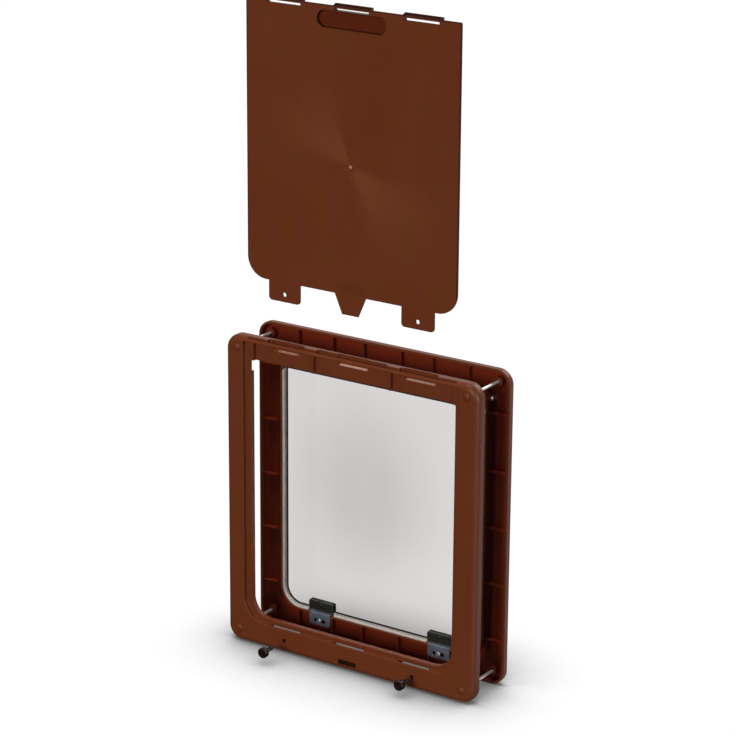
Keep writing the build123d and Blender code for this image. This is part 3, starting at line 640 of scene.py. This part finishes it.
# moulded-in sleeves that the thumb screws turn in: grooved outside, bored to clear the thread's crests
def sleeve(side, x, z, y0, y1, bore=2.92):
    prof = [(y0, bore + 0.25), (y0, 3.35), (y0 + 0.2, 3.55)]
    for k in (0.28, 0.5, 0.72):
        y = y0 + (y1 - y0) * k
        prof += [(y - 0.5, 3.55), (y - 0.3, 3.30), (y + 0.3, 3.30), (y + 0.5, 3.55)]
    prof += [(y1 - 0.2, 3.55), (y1, 3.35), (y1, bore + 0.25), (y1 - 0.25, bore), (y0 + 0.25, bore)]
    n, m = 48, len(prof)
    verts = [P(x + r * math.cos(2 * math.pi * i / n), y, z + r * math.sin(2 * math.pi * i / n)) for i in range(n) for y, r in prof]
    faces = [(i * m + j, i * m + (j + 1) % m, (i + 1) % n * m + (j + 1) % m, (i + 1) % n * m + j) for i in range(n) for j in range(m)]
    o = new_object("thumb_sleeve_" + side, verts, faces, [M["frame"]], smooth=False)
    bm = bmesh.new()
    bm.from_mesh(o.data)
    bmesh.ops.recalc_face_normals(bm, faces=bm.faces)
    bm.to_mesh(o.data)
    bm.free()
    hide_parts("thumb_insert_" + side)
    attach(o, "frame")


sleeve("left", -100.5, 17.2, 5.8, 14.2)
sleeve("right", 100.5, 17.2, 5.8, 14.2)


# ---- floor, backdrop and light -----------------------------------------------------------------------
# The room: white where it is looked at, a dim even fill on matt surfaces, and in reflections dark in front
# of the object and bright behind it, as on a long sweep of pale paper lit from above.
FILL, BOUNCE = 0.03, 0.13
GLOSS_FRONT, GLOSS_BACK = 0.03, 1.0


def emission_tree(t, out_kind, strength, color=(1, 1, 1)):
    out = next(n for n in t.nodes if n.bl_idname == out_kind)
    for n in list(t.nodes):
        if n.bl_idname in ("ShaderNodeBsdfPrincipled", "ShaderNodeBackground"):
            t.nodes.remove(n)
    e = t.nodes.new("ShaderNodeEmission" if out_kind == "ShaderNodeOutputMaterial" else "ShaderNodeBackground")
    e.inputs["Color"].default_value = (*color, 1)
    t.links.new(strength, e.inputs["Strength"])
    t.links.new(e.outputs[0], out.inputs["Surface"])


def by_ray(t, looked_at, glossy, other):
    """Strength by what kind of ray asks: seen directly or through the clear flap, in a reflection, or as fill."""
    path = t.node("ShaderNodeLightPath")
    seen = t.math("MAXIMUM", path.outputs["Is Camera Ray"], path.outputs["Is Transmission Ray"])

    def pick(fac, a, b):
        n = t.node("ShaderNodeMix")
        t.link(fac, n.inputs[0])
        for sock, v in ((n.inputs[2], a), (n.inputs[3], b)):
            if isinstance(v, (int, float)):
                sock.default_value = v
            else:
                t.link(v, sock)
        return n.outputs[0]
    return pick(seen, pick(path.outputs["Is Glossy Ray"], other, glossy), looked_at)


def floor():
    mesh = bpy.data.meshes.new("floor")
    s = 30.0
    mesh.from_pydata([(-s, -s, 0), (s, -s, 0), (s, s, 0), (-s, s, 0)], [], [(0, 1, 2, 3)])
    o = bpy.data.objects.new("floor", mesh)
    o.location.z = -0.0002
    bpy.context.scene.collection.objects.link(o)
    t = Tree("floor")
    # the floor glows instead of taking the lamps' light: its soft shadow round the object is painted from ambient
    # occlusion, and what reflections see of it is painted brighter behind and to the right
    ao = t.node("ShaderNodeAmbientOcclusion", samples=12)
    ao.inputs["Distance"].default_value = 0.36
    near = t.node("ShaderNodeAmbientOcclusion", samples=12)
    near.inputs["Distance"].default_value = 0.15
    shade = t.math("MULTIPLY", t.remap(ao.outputs["AO"], 0.24, 0.90, 0.25, 1.03, "SMOOTHSTEP"),
                   t.remap(near.outputs["AO"], 0.45, 0.99, 0.38, 1.0))
    sep = t.node("ShaderNodeSeparateXYZ")
    t.link(t.coords(), sep.inputs[0])
    aside = t.math("ADD", t.math("MULTIPLY", sep.outputs["X"], 0.8), t.math("MULTIPLY", sep.outputs["Y"], 0.6))
    glossy = t.remap(aside, 0.08, 0.30, GLOSS_FRONT, GLOSS_BACK * 0.9, "SMOOTHSTEP")
    emission_tree(t.t, "ShaderNodeOutputMaterial", by_ray(t, shade, glossy, BOUNCE))
    t.mat.cycles.emission_sampling = "NONE"
    mesh.materials.append(t.mat)


def sun(name, toward, angle, strength, color=(1, 1, 1)):
    d = bpy.data.lights.new(name, "SUN")
    d.angle = math.radians(angle)
    d.energy = strength
    d.color = color
    o = bpy.data.objects.new(name, d)
    o.rotation_mode = "QUATERNION"
    o.rotation_quaternion = Vector(toward).to_track_quat("Z", "Y")
    bpy.context.scene.collection.objects.link(o)
    return o


def polar(az, el):
    """Azimuth from straight in front towards the right, and elevation, in degrees."""
    a, e = math.radians(az), math.radians(el)
    return (math.sin(a) * math.cos(e), -math.cos(a) * math.cos(e), math.sin(e))


floor()
sun("key", polar(3, 17), 22.0, 1.36)
sun("top", (-0.20, -0.12, 0.97), 26.0, 1.15)
sun("back", polar(172, 30), 30.0, 0.95)
sun("flank", polar(86, 30), 26.0, 0.45)
rim = sun("rim", polar(60, 1), 16.0, 3.0)
rim.visible_diffuse = False

world = bpy.data.worlds.new("studio")
bpy.context.scene.world = world
world.use_nodes = True


class WorldTree(Tree):
    def __init__(self, w):
        self.t, self.geo = w.node_tree, None


wt = WorldTree(world)
way = wt.node("ShaderNodeSeparateXYZ")
tc = wt.node("ShaderNodeTexCoord")
wt.link(tc.outputs["Generated"], way.inputs[0])
emission_tree(wt.t, "ShaderNodeOutputWorld",
              by_ray(wt, 1.0, wt.remap(way.outputs["Y"], 0.25, 0.75, GLOSS_FRONT, GLOSS_BACK, "SMOOTHSTEP"), FILL))

bpy.context.scene.view_settings.view_transform = "Standard"
